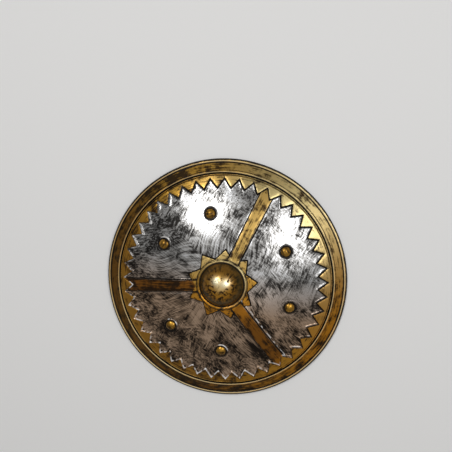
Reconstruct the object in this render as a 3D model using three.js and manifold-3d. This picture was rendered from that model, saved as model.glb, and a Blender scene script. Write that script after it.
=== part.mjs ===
// A round costume shield. One moulded plastic shell carries all of its relief: a stepped rim, a ring of pointed
// teeth, three bands, a nine-pointed star, a boss in a beaded ring and six rivet domes. A hand grip and a forearm
// strap are riveted to seats behind four of the domes. Millimetres, +Z up. It lies face up on its rim. The origin
// is on the surface it lies on, under the middle of the boss, and one band points along -X.
import * as THREE from "three";
import { mergeVertices } from "three/addons/utils/BufferGeometryUtils.js";
import Module from "manifold-3d";

const wasm = await Module();
wasm.setup();

// Shell
const rimRadius = 250;
const wall = 2;
const domeRadius = 480;

// Rim, with heights above the surface that it lies on and runs along the radius
const footRun = 4;
const lipCrestInset = 4.6;
const lipEdgeInset = 1.4;
const lipHeight = 6.4;
const lipInset = 7.4;
const lipValleyHeight = 4.4;
const rimBandRun = 15.4;
const rimBandHeight = 13;
const rimBeadRun = 4.4;
const rimBeadRise = 2;
const grooveRun = 1.4;
const grooveHeight = 11.6;
const ringBeadRun = 4;
const ringBeadRise = 2.2;
const ringFloorHeight = 13.2;

// Toothed ring
const toothCount = 44;
const ringLand = 3.6;
const toothLength = 19.2;
const ringRelief = 5;
const toothDraft = 0.7;

// Bands, which widen and sink a little from the star to the toothed ring
const bandCount = 3;
const bandInnerWidth = 21;
const bandOuterWidth = 26.5;
const bandInnerRelief = 4;
const bandOuterRelief = 2.5;
const bandDraft = 0.8;

// Star
const starPoints = 9;
const starTipRadius = 72;
const starNotchRadius = 53;
const starRelief = 4.2;
const starDraft = 0.5;

// Boss, and the beaded ring that starts at its edge
const bossRadius = 46;
const bossHeight = 34;
const bossRingRun = 6.4;
const bossRingRise = 6;

// Rivet domes, in pairs on either side of the middle of each sector
const rivetCircle = 145;
const rivetSpreadDeg = 23.65;
const rivetRadius = 11.2;
const rivetRise = 5.4;
const collarRadius = 13.4;
const collarRise = 1.4;

// Seats, straps and push rivets behind the shell
const clearance = 0.3;
const seatRadius = 10;
const seatGap = 2;
const boreDepth = 7;
const shankRadius = 2.3;
const headRadius = 6.5;
const headThickness = 2.4;
const headChamfer = 1;
const strapThickness = 3;
const strapFloorGap = 3;
const gripWidth = 28;
const gripRampRun = 34;
const forearmWidth = 34;
const forearmRampRun = 46;

// Facets
const bodySegments = 2 * toothCount;
const bossSegments = 4 * starPoints;
const rivetSegments = 12;
const pushRivetSegments = 12;
const rampSteps = 6;
const strapEndSteps = 8;

// Radii that follow from the widths above
const lipValleyRadius = rimRadius - lipInset;
const rimBeadOuter = lipValleyRadius - rimBandRun;
const rimBeadInner = rimBeadOuter - rimBeadRun;
const ringBeadOuter = rimBeadInner - grooveRun;
const ringRadius = ringBeadOuter - ringBeadRun;
const toothRoot = ringRadius - ringLand;
const toothTip = toothRoot - toothLength;
const bossRingRadius = bossRadius + bossRingRun / 2;

// The field is part of a sphere, and every relief on it is lifted along the sphere's radius
const domeCentre = ringFloorHeight - Math.sqrt(domeRadius ** 2 - ringRadius ** 2);
const fieldHeight = (radius, lift = 0) => domeCentre + Math.sqrt((domeRadius + lift) ** 2 - radius ** 2);

function toManifold(geometry) {
  const bare = new THREE.BufferGeometry();
  bare.setAttribute("position", geometry.getAttribute("position"));
  bare.setIndex(geometry.getIndex());
  const merged = mergeVertices(bare, 1e-4);
  const corners = merged.getIndex().array;
  const places = merged.getAttribute("position");
  const triangles = [];
  let volume = 0;
  const a = new THREE.Vector3();
  const b = new THREE.Vector3();
  const c = new THREE.Vector3();
  for (let i = 0; i < corners.length; i += 3) {
    const [p, q, r] = corners.slice(i, i + 3);
    if (p === q || q === r || r === p) continue;
    triangles.push([p, q, r]);
    a.fromBufferAttribute(places, p);
    b.fromBufferAttribute(places, q);
    c.fromBufferAttribute(places, r);
    volume += a.dot(b.cross(c));
  }
  const outward = volume > 0 ? triangles : triangles.map(([p, q, r]) => [p, r, q]);
  return new wasm.Manifold(new wasm.Mesh({
    numProp: 3,
    vertProperties: new Float32Array(places.array),
    triVerts: new Uint32Array(outward.flat()),
  }));
}

function toGeometry(manifold) {
  const mesh = manifold.getMesh();
  const geometry = new THREE.BufferGeometry();
  geometry.setAttribute("position", new THREE.BufferAttribute(new Float32Array(mesh.vertProperties), 3));
  geometry.setIndex(new THREE.BufferAttribute(new Uint32Array(mesh.triVerts), 1));
  return geometry;
}

// A solid of revolution about Z, from a closed profile of [radius, height] points. A point may instead be a pair
// { tip, root } of such points, which take turns round the axis, so that it draws a ring of teeth or of star points
function latheGeometry(profile, segments) {
  const ring = [...profile, profile[0]];
  const points = ring.map((point) => new THREE.Vector2(...(point.root ?? point)));
  const geometry = new THREE.LatheGeometry(points, segments);
  const places = geometry.getAttribute("position");
  for (let segment = 0; segment <= segments; segment += 2) {
    const angle = (2 * Math.PI * segment) / segments;
    ring.forEach(({ tip }, i) => {
      if (!tip) return;
      const [radius, height] = tip;
      places.setXYZ(segment * ring.length + i, radius * Math.sin(angle), height, radius * Math.cos(angle));
    });
  }
  return geometry.rotateX(Math.PI / 2).rotateZ(Math.PI / 2);
}

const lathe = (profile, segments) => toManifold(latheGeometry(profile, segments));

// The points of a rounded bead between two radii, feet left out, standing on a base of its own at each radius
function beadPoints(inner, outer, rise, base, steps) {
  const middle = (inner + outer) / 2;
  const half = (outer - inner) / 2;
  return Array.from({ length: steps - 1 }, (_, i) => {
    const angle = Math.PI * (1 - (i + 1) / steps);
    const radius = middle + half * Math.cos(angle);
    return [radius, base(radius) + rise * Math.sin(angle)];
  });
}

function fieldPoints(inner, outer, lift, steps) {
  return Array.from({ length: steps + 1 }, (_, i) => {
    const radius = inner + ((outer - inner) * i) / steps;
    return [radius, fieldHeight(radius, lift)];
  });
}

function turned(radius, angle) {
  return [radius * Math.cos(angle), radius * Math.sin(angle)];
}

// The wall of the teeth, from its foot on the field to its top on the ring. Inset makes room for a wall outside it,
// and moves each corner along the radius as far as its two sides move outwards
function toothWall(inset) {
  const across = toothRoot * Math.sin(Math.PI / toothCount);
  const along = toothRoot * Math.cos(Math.PI / toothCount) - toothTip;
  const shift = (inset * Math.hypot(across, along)) / across;
  const top = (radius) => [radius + shift, fieldHeight(radius + shift, ringRelief - inset)];
  const foot = (radius) => {
    const footRadius = radius + shift - toothDraft * ringRelief;
    return [footRadius, fieldHeight(footRadius, -inset)];
  };
  return [
    { tip: foot(toothTip), root: foot(toothRoot) },
    { tip: top(toothTip), root: top(toothRoot) },
  ];
}

// Body under the skin: the field, the toothed ring and the stepped rim
function outerBody() {
  const bandHeight = (radius) => {
    const share = (lipValleyRadius - radius) / rimBandRun;
    return lipValleyHeight + (rimBandHeight - lipValleyHeight) * Math.min(share, 1);
  };
  return lathe([
    [0, 0],
    [0, fieldHeight(0)],
    ...fieldPoints(starNotchRadius, toothTip - toothLength, 0, 2),
    ...toothWall(0),
    [ringRadius, fieldHeight(ringRadius, ringRelief)],
    [ringRadius, ringFloorHeight],
    ...beadPoints(ringRadius, ringBeadOuter, ringBeadRise, () => ringFloorHeight, 3),
    [ringBeadOuter, grooveHeight],
    [rimBeadInner, grooveHeight],
    ...beadPoints(rimBeadInner, rimBeadOuter, rimBeadRise, bandHeight, 3),
    [rimBeadOuter, bandHeight(rimBeadOuter)],
    [lipValleyRadius, lipValleyHeight],
    [rimRadius - lipCrestInset, lipHeight],
    [rimRadius - lipEdgeInset, lipHeight - lipEdgeInset],
    [rimRadius, 0],
  ], bodySegments);
}

// The hollow under the body: the same main lines, a wall's thickness further in
function innerBody(low) {
  return lathe([
    [0, low],
    [0, fieldHeight(0, -wall)],
    ...fieldPoints(starNotchRadius, toothTip - toothLength, -wall, 2),
    ...toothWall(wall),
    [ringRadius - wall, fieldHeight(ringRadius - wall, ringRelief - wall)],
    [ringRadius - wall, grooveHeight - wall],
    [rimBeadOuter, grooveHeight - wall],
    [lipValleyRadius, lipValleyHeight - wall],
    [rimRadius - footRun, lipValleyHeight - wall],
    [rimRadius - footRun, low],
  ], bodySegments);
}

// A band runs out along +X from under the star to under the ring, with drafted sides, and is copied round
function bands(inset, low) {
  const along = (inner, outer, radius) => (
    THREE.MathUtils.mapLinear(radius, starNotchRadius, toothRoot, inner, outer)
  );
  const topHeight = (radius) => (
    fieldHeight(radius, along(bandInnerRelief, bandOuterRelief, radius) - inset)
  );
  const steps = 4;
  const side = [[toothRoot - inset, low], [bossRadius, low]];
  for (let i = 0; i <= steps; i += 1) {
    const radius = bossRadius + ((toothRoot - inset - bossRadius) * i) / steps;
    side.push([radius, topHeight(radius)]);
  }
  const shape = new THREE.Shape(side.map(([x, z]) => new THREE.Vector2(x, z)));
  const geometry = new THREE.ExtrudeGeometry(shape, { depth: 1, bevelEnabled: false })
    .translate(0, 0, -0.5)
    .rotateX(Math.PI / 2);
  const places = geometry.getAttribute("position");
  for (let i = 0; i < places.count; i += 1) {
    const radius = places.getX(i);
    const depth = topHeight(radius) - places.getZ(i);
    const half = along(bandInnerWidth, bandOuterWidth, radius) / 2 - inset + bandDraft * depth;
    places.setY(i, Math.sign(places.getY(i)) * half);
  }
  const one = toManifold(geometry);
  const copies = Array.from({ length: bandCount }, (_, i) => (
    one.rotate([0, 0, 180 + (360 * i) / bandCount])
  ));
  return wasm.Manifold.union(copies);
}

// The star, rooted in the thickness of the wall
function star() {
  const edge = (rise, spread) => {
    const corner = (radius) => [radius + spread, fieldHeight(radius, rise)];
    return { tip: corner(starTipRadius), root: corner(starNotchRadius) };
  };
  return lathe([
    [0, fieldHeight(0, -wall)],
    [0, fieldHeight(0, starRelief)],
    [bossRadius, fieldHeight(bossRadius, starRelief)],
    edge(starRelief, 0),
    edge(-wall, starDraft * (starRelief + wall)),
  ], 2 * starPoints);
}

// The boss is part of a sphere that rises inside the beaded ring
function boss(inset, low) {
  const capRadius = (bossRadius ** 2 + bossHeight ** 2) / (2 * bossHeight);
  const capCentre = fieldHeight(bossRadius) + bossHeight - capRadius;
  const halfAngle = Math.asin(bossRadius / capRadius);
  const steps = 4;
  const cap = Array.from({ length: steps }, (_, i) => {
    const angle = (halfAngle * i) / steps;
    return [(capRadius - inset) * Math.sin(angle), capCentre + (capRadius - inset) * Math.cos(angle)];
  });
  const inner = bossRingRadius - bossRingRun / 2 + inset;
  const outer = bossRingRadius + bossRingRun / 2 - inset;
  const base = (radius) => fieldHeight(radius, -inset);
  return lathe([
    [0, low],
    ...cap,
    [inner, base(inner)],
    ...beadPoints(inner, outer, bossRingRise - inset, base, 3),
    [outer, base(outer)],
    [outer, low],
  ], bossSegments);
}

const sectorMiddles = Array.from({ length: bandCount }, (_, i) => (360 * i) / bandCount);
const rivetAnglesDeg = sectorMiddles.flatMap((middle) => [middle - rivetSpreadDeg, middle + rivetSpreadDeg]);
const gripRivetDeg = rivetSpreadDeg;
const forearmRivetDeg = 360 / bandCount + rivetSpreadDeg;
const seatAnglesDeg = [gripRivetDeg, -gripRivetDeg, forearmRivetDeg, -forearmRivetDeg];

// A rivet dome stands square to the field, on a low collar
function rivetDome(angleDeg) {
  const capRadius = (rivetRadius ** 2 + rivetRise ** 2) / (2 * rivetRise);
  const halfAngle = Math.asin(rivetRadius / capRadius);
  const steps = 2;
  const cap = Array.from({ length: steps + 1 }, (_, i) => {
    const angle = halfAngle * (1 - i / steps);
    return [capRadius * Math.sin(angle), collarRise + rivetRise + capRadius * (Math.cos(angle) - 1)];
  });
  const root = -wall;
  const profile = [[0, root], [collarRadius, root], [collarRadius, collarRise], ...cap];
  const tilt = Math.asin(rivetCircle / domeRadius);
  const angle = THREE.MathUtils.degToRad(angleDeg);
  const [x, y] = turned(rivetCircle, angle);
  const geometry = latheGeometry(profile, rivetSegments);
  return toManifold(geometry.rotateY(tilt).rotateZ(angle).translate(x, y, fieldHeight(rivetCircle)));
}

function column(x, y, radius, low, high, segments) {
  return lathe([[0, low], [radius, low], [radius, high], [0, high]], segments).translate([x, y, 0]);
}

// Seats are flat underneath, low enough for the wider strap's ends to lie clear of the dome round them, and each
// takes a push rivet in a blind bore
const strapReach = Math.max(gripWidth, forearmWidth) / 2;
const seatHeight = fieldHeight(rivetCircle + strapReach, -wall) - seatGap;
const seatPlaces = seatAnglesDeg.map((angle) => turned(rivetCircle, THREE.MathUtils.degToRad(angle)));

function shell() {
  const below = -wall;
  const outer = wasm.Manifold.union([
    outerBody(),
    bands(0, 0),
    star(),
    boss(0, 0),
    ...rivetAnglesDeg.map(rivetDome),
  ]);
  const hollow = wasm.Manifold.union([
    innerBody(below),
    bands(wall, below),
    boss(wall, below),
  ]);
  const boreRadius = shankRadius + clearance;
  const seats = seatPlaces.map(([x, y]) => column(x, y, seatRadius, seatHeight, fieldHeight(0), rivetSegments));
  const bores = seatPlaces.map(([x, y]) => (
    column(x, y, boreRadius, seatHeight - wall, seatHeight + boreDepth, pushRivetSegments)
  ));
  return outer
    .subtract(hollow.subtract(wasm.Manifold.union(seats)))
    .subtract(wasm.Manifold.union(bores));
}

// A strap leaves its two seats flat, dips towards the user and runs level between the dips
const strapTop = seatHeight - clearance;
const strapBottom = strapTop - strapThickness;

function strap(width, rampRun, angleDeg) {
  const [x, halfSpan] = turned(rivetCircle, THREE.MathUtils.degToRad(angleDeg));
  const tabInner = halfSpan - seatRadius - clearance;
  const drop = strapBottom - strapFloorGap;
  const middle = strapBottom + strapThickness / 2;
  const ramp = Array.from({ length: rampSteps + 1 }, (_, i) => {
    const share = i / rampSteps;
    const slope = (-drop * Math.PI * Math.sin(Math.PI * share)) / (2 * rampRun);
    return {
      y: tabInner - rampRun * share,
      z: middle - (drop * (1 - Math.cos(Math.PI * share))) / 2,
      lean: Math.atan(-slope),
    };
  });
  const end = { y: halfSpan + width / 2, z: middle, lean: 0 };
  const right = [end, ...ramp];
  const left = right.map(({ y, z, lean }) => ({ y: -y, z, lean: -lean })).reverse();
  const line = [...right, ...left];
  const side = (half) => line.map(({ y, z, lean }) => (
    new THREE.Vector2(y - half * Math.sin(lean), z + half * Math.cos(lean))
  ));
  const section = new THREE.Shape([...side(strapThickness / 2), ...side(-strapThickness / 2).reverse()]);
  const bent = new THREE.ExtrudeGeometry(section, { depth: width, bevelEnabled: false })
    .translate(0, 0, -width / 2)
    .rotateX(Math.PI / 2)
    .rotateZ(Math.PI / 2);
  const plan = new THREE.Shape()
    .absarc(0, halfSpan, width / 2, 0, Math.PI)
    .absarc(0, -halfSpan, width / 2, Math.PI, 2 * Math.PI);
  const cutter = new THREE.ExtrudeGeometry(plan, { depth: seatHeight, bevelEnabled: false, curveSegments: strapEndSteps });
  const hole = (y) => column(0, y, shankRadius + clearance, 0, seatHeight, pushRivetSegments);
  return toManifold(bent)
    .intersect(toManifold(cutter))
    .subtract(hole(halfSpan))
    .subtract(hole(-halfSpan))
    .translate([x, 0, 0]);
}

// A push rivet: a chamfered head under the strap and a shank up into the seat's bore
function pushRivet() {
  const headTop = strapBottom - clearance;
  const headBottom = headTop - headThickness;
  const tip = seatHeight + boreDepth - clearance;
  return latheGeometry([
    [0, headBottom],
    [headRadius - headChamfer, headBottom],
    [headRadius, headBottom + headChamfer],
    [headRadius, headTop],
    [shankRadius, headTop],
    [shankRadius, tip],
    [0, tip],
  ], pushRivetSegments);
}

const painted = new THREE.MeshStandardMaterial({ color: 0xa8905a, roughness: 0.38, metalness: 0.7 });
const strapPlastic = new THREE.MeshStandardMaterial({ color: 0x1b1a19, roughness: 0.55, metalness: 0 });
const rivetPlastic = new THREE.MeshStandardMaterial({ color: 0x26231f, roughness: 0.4, metalness: 0 });

const shield = new THREE.Group();

function addMesh(name, geometry, material) {
  const mesh = new THREE.Mesh(geometry, material);
  mesh.name = name;
  shield.add(mesh);
  return mesh;
}

addMesh("shell", toGeometry(shell()), painted);
addMesh("hand_grip", toGeometry(strap(gripWidth, gripRampRun, gripRivetDeg)), strapPlastic);
addMesh("forearm_strap", toGeometry(strap(forearmWidth, forearmRampRun, forearmRivetDeg)), strapPlastic);

const rivetNames = ["grip_rivet_left", "grip_rivet_right", "forearm_rivet_left", "forearm_rivet_right"];
rivetNames.forEach((name, i) => {
  const rivet = addMesh(name, toGeometry(toManifold(pushRivet())), rivetPlastic);
  rivet.position.set(...seatPlaces[i], 0);
});

export default shield;
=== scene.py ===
"""A round costume shield that lies face up: one painted, moulded shell with two straps riveted behind it.

The shell is drawn again here from the same sizes as its solid, with rounded edges, and every relief on it is
lifted along the radius of its dome. Sizes are in millimetres and are scaled to metres when a mesh is made.
"""
import math

import bpy
import numpy as np
from mathutils import Matrix, Vector
from mathutils.geometry import delaunay_2d_cdt


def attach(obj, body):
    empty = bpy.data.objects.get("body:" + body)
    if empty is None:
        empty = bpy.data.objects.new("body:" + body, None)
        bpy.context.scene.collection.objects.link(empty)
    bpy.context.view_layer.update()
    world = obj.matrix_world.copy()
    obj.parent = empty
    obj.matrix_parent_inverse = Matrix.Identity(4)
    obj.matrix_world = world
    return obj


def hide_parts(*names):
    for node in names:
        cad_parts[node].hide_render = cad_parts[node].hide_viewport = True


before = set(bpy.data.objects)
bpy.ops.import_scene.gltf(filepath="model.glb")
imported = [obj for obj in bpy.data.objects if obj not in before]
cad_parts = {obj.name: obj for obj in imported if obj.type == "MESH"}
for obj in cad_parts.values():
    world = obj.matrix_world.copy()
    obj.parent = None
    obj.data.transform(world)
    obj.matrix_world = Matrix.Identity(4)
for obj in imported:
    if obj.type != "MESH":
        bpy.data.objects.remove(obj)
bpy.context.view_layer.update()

MM = 0.001
FULL_TURN = 2 * math.pi
FAR = 1000.0

# Shell and rim, as in the solids
RIM_RADIUS = 250.0
WALL = 2.0
DOME_RADIUS = 480.0
FOOT_RUN = 4.0
LIP_CREST_INSET = 4.6
LIP_EDGE_INSET = 1.4
LIP_HEIGHT = 6.4
LIP_INSET = 7.4
LIP_VALLEY_HEIGHT = 4.4
RIM_BAND_RUN = 15.4
RIM_BAND_HEIGHT = 13.0
RIM_BEAD_RUN = 4.4
RIM_BEAD_RISE = 2.0
GROOVE_RUN = 1.4
GROOVE_HEIGHT = 11.6
RING_BEAD_RUN = 4.0
RING_BEAD_RISE = 2.2
RING_FLOOR_HEIGHT = 13.2

# Toothed ring
TOOTH_COUNT = 44
RING_LAND = 3.6
TOOTH_LENGTH = 19.2
RING_RELIEF = 5.0
TOOTH_RUN = 3.4
TOOTH_SOFTNESS = 0.36

# Bands
BAND_COUNT = 3
BAND_INNER_WIDTH = 21.0
BAND_OUTER_WIDTH = 26.5
BAND_INNER_RELIEF = 4.0
BAND_OUTER_RELIEF = 2.5
BAND_DRAFT = 0.8
BAND_SOFTNESS = 0.3

# Star
STAR_POINTS = 9
STAR_TIP_RADIUS = 72.0
STAR_NOTCH_RADIUS = 53.0
STAR_RELIEF = 4.2
STAR_DRAFT = 0.5

# Boss and its beaded ring
BOSS_RADIUS = 46.0
BOSS_HEIGHT = 34.0
BOSS_RING_RUN = 6.4
BOSS_RING_RISE = 6.0

# Rivet domes, each in a round patch of its own
RIVET_CIRCLE = 145.0
RIVET_SPREAD_DEG = 23.65
RIVET_RADIUS = 11.2
RIVET_RISE = 5.4
COLLAR_RADIUS = 13.4
COLLAR_RISE = 1.4
DOME_FOOT = 1.25
RIVET_PATCH = 17.0

# Seats, straps and push rivets behind the shell
CLEARANCE = 0.3
SEAT_RADIUS = 10.0
SEAT_GAP = 2.0
SEAT_EDGE_RUN = 0.8
SEAT_REACH = 3.0
HEAD_RADIUS = 6.5
HEAD_THICKNESS = 2.4
HEAD_EDGE = 0.2
HEAD_DOME_INSET = 0.5
HEAD_FULLNESS = 0.8
SHANK_RADIUS = 2.3
STRAP_THICKNESS = 3.0
STRAP_CORNER = 1.1
STRAP_FLOOR_GAP = 3.0
GRIP_WIDTH = 28.0
GRIP_RAMP_RUN = 34.0
FOREARM_WIDTH = 34.0
FOREARM_RAMP_RUN = 46.0

# What follows from them
LIP_VALLEY_RADIUS = RIM_RADIUS - LIP_INSET
RIM_BEAD_OUTER = LIP_VALLEY_RADIUS - RIM_BAND_RUN
RIM_BEAD_INNER = RIM_BEAD_OUTER - RIM_BEAD_RUN
RING_BEAD_OUTER = RIM_BEAD_INNER - GROOVE_RUN
RING_RADIUS = RING_BEAD_OUTER - RING_BEAD_RUN
TOOTH_ROOT = RING_RADIUS - RING_LAND
TOOTH_TIP = TOOTH_ROOT - TOOTH_LENGTH
DOME_CENTRE = RING_FLOOR_HEIGHT - math.sqrt(DOME_RADIUS ** 2 - RING_RADIUS ** 2)
BOSS_RING_RADIUS = BOSS_RADIUS + BOSS_RING_RUN / 2
BOSS_RING_INNER = BOSS_RADIUS
BOSS_RING_OUTER = BOSS_RING_RADIUS + BOSS_RING_RUN / 2

# Mesh: segments in circles, where its patches meet the rim, and the spacing of points on flat places
SEGMENTS = 10 * TOOTH_COUNT
RIVET_SEGMENTS = 40
SEAT_SEGMENTS = 32
STRAP_SEGMENTS = 28
JOIN_INSET = 1.0
FRONT_JOIN = RING_RADIUS - JOIN_INSET
BACK_JOIN = RING_RADIUS - WALL - JOIN_INSET
FILL = 4.5
CORNER_ROUNDING = 0.8
RELIEF_ROUNDING = 0.15
WALL_SOFTNESS = 0.12

# Lines that the mesh follows: distances inside the teeth's and the star's edges, shares of a band's sloping
# wall, degrees round the section of the boss's ring, and distances outside a seat's edge
FRONT_TOOTH_LINES = (1.6, 0.7, 0.2, -0.3, -0.9, -1.5, -2.1, -2.7, -3.3, -3.9, -4.8)
BACK_TOOTH_LINES = (2.6, 1.9, 0.9, 0.1, -0.4)
STAR_LINES = (1.0, 0.3, -0.15, -0.6, -1.0, -1.35, -1.8, -2.6)
FRONT_BAND_LINES = (-0.35, -0.08, 0.06, 0.35, 0.7, 0.95, 1.2, 1.6)
BACK_BAND_LINES = (-0.2, 0.1, 0.5, 0.9, 1.3)
FRONT_RING_LINES = (0, 14, 30, 50, 70, 90, 110, 130, 150, 166, 180)
BACK_RING_LINES = (0, 30, 60, 90, 120, 150, 180)
SEAT_LINES = (-1.2, -0.2, 0.1, 0.8, 1.8)

# A rivet dome's rings from its patch to the foot of the dome: radius, and height over the field
COLLAR_PROFILE = [
    (RIVET_PATCH, 0.0), (15.4, 0.0), (14.7, 0.05), (14.3, 0.25), (14.0, 0.75), (13.7, 1.2),
    (COLLAR_RADIUS, 1.38), (12.9, COLLAR_RISE), (12.2, 1.3), (11.7, 1.1), (11.35, 1.05),
]


def field(radius, lift=0.0):
    """Height of the dome's surface, lifted along the dome's own radius."""
    return DOME_CENTRE + np.sqrt((DOME_RADIUS + lift) ** 2 - np.square(radius))


def circle(radius, count):
    turn = FULL_TURN * np.arange(count) / count
    return np.stack([np.cos(turn), np.sin(turn)], 1) * radius


def rings(profile, count):
    """Points round the axis, one ring for each radius and height of a profile."""
    return [np.column_stack([circle(radius, count), np.full(count, z)]) for radius, z in profile]


def rivet_centre(angle):
    return RIVET_CIRCLE * math.cos(angle), RIVET_CIRCLE * math.sin(angle)


def rivet_distance(x, y, angle):
    centre_x, centre_y = rivet_centre(angle)
    return np.hypot(x - centre_x, y - centre_y)


def smooth_max(a, b, softness):
    return 0.5 * (a + b + np.sqrt(np.square(a - b) + softness ** 2))


def smooth_min(a, b, softness):
    return -smooth_max(-a, -b, softness)


def ramp(distance, run, softness=WALL_SOFTNESS):
    """From 0 at the foot of a wall to 1 at its top edge, where distance is 0, with both ends rounded."""
    share = 1 + distance / run
    return 0.5 * (1 + np.sqrt(share ** 2 + softness ** 2) - np.sqrt((share - 1) ** 2 + softness ** 2))


class Zigzag:
    """A closed line round the axis whose corners alternate between two radii, the tips' first, at angle 0."""

    def __init__(self, count, tip, root):
        self.count = count
        self.tip = tip
        self.root = root
        self.half_step = math.pi / count
        across = root * math.sin(self.half_step)
        along = root * math.cos(self.half_step) - tip
        length = math.hypot(across, along)
        outward = 1 if along > 0 else -1
        self.normal = (-outward * along / length, outward * across / length)
        self.corner_reach = length / across

    def distance(self, x, y, softness=CORNER_ROUNDING):
        """Distance from the line, positive on the side that the tips point away from."""
        radius = np.hypot(x, y)
        step = 2 * self.half_step
        angle = np.abs((np.arctan2(y, x) + self.half_step) % step - self.half_step)
        sides = []
        for turn in (angle, -angle, step - angle):
            outward = radius * np.cos(turn) - self.tip
            sides.append(radius * np.sin(turn) * self.normal[0] + outward * self.normal[1])
        own = smooth_min(sides[0], sides[1], softness)
        return smooth_max(own, sides[2], softness)

    def line(self, shift, pieces):
        """The closed line shifted by a distance, with each side in several pieces."""
        reach = shift * self.corner_reach * (1 if self.normal[1] > 0 else -1)
        corners = circle(1.0, 2 * self.count)
        corners[::2] *= self.tip + reach
        corners[1::2] *= self.root + reach
        sides = np.roll(corners, -1, 0) - corners
        shares = np.arange(pieces)[:, None] / pieces
        return (corners[:, None] + sides[:, None] * shares).reshape(-1, 2)


TEETH = Zigzag(TOOTH_COUNT, TOOTH_TIP, TOOTH_ROOT)
STAR = Zigzag(STAR_POINTS, STAR_TIP_RADIUS, STAR_NOTCH_RADIUS)
STAR_RUN = STAR_DRAFT * STAR_RELIEF / STAR.corner_reach
SECTOR_ANGLES = [FULL_TURN * i / BAND_COUNT for i in range(BAND_COUNT)]
BAND_ANGLES = [math.pi + sector for sector in SECTOR_ANGLES]
RIVET_SPREAD = math.radians(RIVET_SPREAD_DEG)
RIVET_ANGLES = [sector + side * RIVET_SPREAD for sector in SECTOR_ANGLES for side in (-1, 1)]
GRIP_ANGLE = RIVET_SPREAD
FOREARM_ANGLE = FULL_TURN / BAND_COUNT + RIVET_SPREAD
SEAT_ANGLES = [GRIP_ANGLE, -GRIP_ANGLE, FOREARM_ANGLE, -FOREARM_ANGLE]
STRAP_REACH = max(GRIP_WIDTH, FOREARM_WIDTH) / 2
SEAT_HEIGHT = float(field(RIVET_CIRCLE + STRAP_REACH, -WALL)) - SEAT_GAP
STRAP_BOTTOM = SEAT_HEIGHT - CLEARANCE - STRAP_THICKNESS


def band_part(along):
    """Half the width of a band, and its relief, at a place along it."""
    share = (along - STAR_NOTCH_RADIUS) / (TOOTH_ROOT - STAR_NOTCH_RADIUS)
    half = (BAND_INNER_WIDTH + (BAND_OUTER_WIDTH - BAND_INNER_WIDTH) * share) / 2
    relief = BAND_INNER_RELIEF + (BAND_OUTER_RELIEF - BAND_INNER_RELIEF) * share
    return half, relief


def band_distance(x, y, angle):
    """Distance inside a band's top edge, the place along it, and the place across it."""
    along = x * math.cos(angle) + y * math.sin(angle)
    across = -x * math.sin(angle) + y * math.cos(angle)
    half, _ = band_part(along)
    inside = np.where(along > 0, half - np.abs(across), -FAR)
    return inside, along, across


def boss_height(radius, inset):
    cap = (BOSS_RADIUS ** 2 + BOSS_HEIGHT ** 2) / (2 * BOSS_HEIGHT)
    centre = field(BOSS_RADIUS) + BOSS_HEIGHT - cap
    inside = np.maximum((cap - inset) ** 2 - np.square(radius), 1.0)
    return np.where(radius < BOSS_RADIUS, centre + np.sqrt(inside), -FAR)


def boss_ring_height(radius, inset):
    half = BOSS_RING_RUN / 2 - inset
    inside = np.maximum(1 - np.square((radius - BOSS_RING_RADIUS) / half), 0.0)
    height = field(radius, -inset) + (BOSS_RING_RISE - inset) * np.sqrt(inside)
    return np.where(inside > 0, height, -FAR)


def front_height(x, y, inset=0.0, tooth_softness=TOOTH_SOFTNESS, band_softness=BAND_SOFTNESS):
    """Height of the shell's front, or of a skin behind it at an inset, which has no star."""
    radius = np.hypot(x, y)
    lift = RING_RELIEF * ramp(TEETH.distance(x, y) - inset, TOOTH_RUN, tooth_softness)
    for angle in BAND_ANGLES:
        inside, along, _ = band_distance(x, y, angle)
        _, relief = band_part(along)
        wall = ramp(inside - inset, BAND_DRAFT * relief, band_softness)
        lift = smooth_max(lift, relief * wall, RELIEF_ROUNDING)
    if inset == 0:
        lift = smooth_max(lift, STAR_RELIEF * ramp(STAR.distance(x, y), STAR_RUN), RELIEF_ROUNDING)
    height = field(radius, lift - inset)
    return np.maximum(np.maximum(height, boss_height(radius, inset)), boss_ring_height(radius, inset))


def back_height(x, y):
    height = front_height(x, y, WALL, WALL_SOFTNESS, WALL_SOFTNESS)
    for angle in SEAT_ANGLES:
        away = rivet_distance(x, y, angle)
        seat = SEAT_HEIGHT + (height - SEAT_HEIGHT) * (1 - ramp(SEAT_RADIUS - away, SEAT_EDGE_RUN))
        height = np.where(away < SEAT_RADIUS + SEAT_REACH, seat, height)
    return height


def clear_of(distance, low, high):
    """Where a distance is outside the range that the lines along an edge take up."""
    return (distance < low) | (distance > high)


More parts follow.
